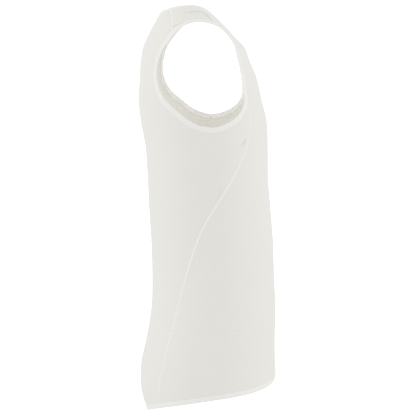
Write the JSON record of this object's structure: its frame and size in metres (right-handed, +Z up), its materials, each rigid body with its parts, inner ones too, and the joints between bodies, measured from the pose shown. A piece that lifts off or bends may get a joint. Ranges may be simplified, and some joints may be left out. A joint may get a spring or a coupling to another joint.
{
  "type": "sleeveless base layer top",
  "caption": "Close-fitting sleeveless top in worn form: round neck, bound neck and armholes, seams sweeping from the front of each armhole to the back hem, and a hem that dips behind.",
  "frame": {"origin": "midway between the shoulders, level with the neck edge beside the neck, where the wearer's shoulders hold the top up", "axes": "+Z up to the neck, front faces -Y, +X is the wearer's left; the top mirrors about X = 0"},
  "size_m": [0.3366, 0.2448, 0.7293],
  "materials": {
    "body_fabric": "off-white fine pique knit, matt",
    "binding_fabric": "off-white smooth knit, matt"
  },
  "bodies": {
    "root": {"front_panel": "body_fabric", "back_panel": "body_fabric", "neck_binding": "binding_fabric", "armhole_binding_left": "binding_fabric", "armhole_binding_right": "binding_fabric", "hem_band": "binding_fabric"}
  },
  "joints": []
}
